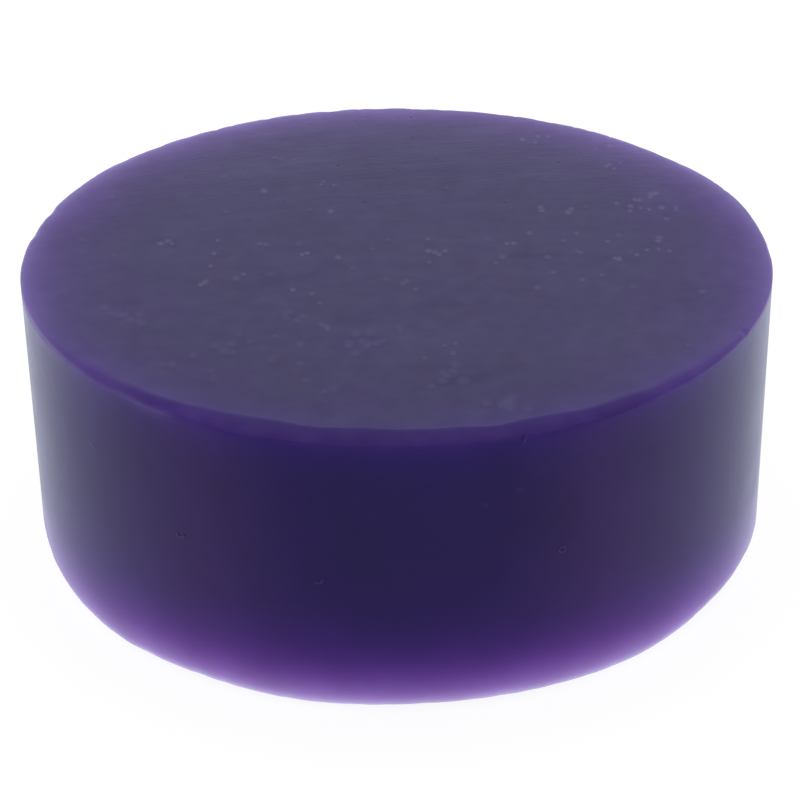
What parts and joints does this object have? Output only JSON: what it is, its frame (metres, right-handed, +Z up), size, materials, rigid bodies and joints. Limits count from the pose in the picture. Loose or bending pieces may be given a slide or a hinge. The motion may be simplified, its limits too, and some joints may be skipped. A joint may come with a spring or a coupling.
{
  "type": "soap puck",
  "caption": "Round puck of translucent violet shaving soap with a straight wall, a rounded base edge and a flat sliced face.",
  "frame": {"origin": "centre of the base, on the surface that the puck stands on", "axes": "+Z up along the puck's axis, from the moulded base to the sliced face"},
  "size_m": [0.0636, 0.0634, 0.0254],
  "materials": {
    "soap": "satin"
  },
  "bodies": {
    "root": {"soap_puck": "soap"}
  },
  "joints": []
}
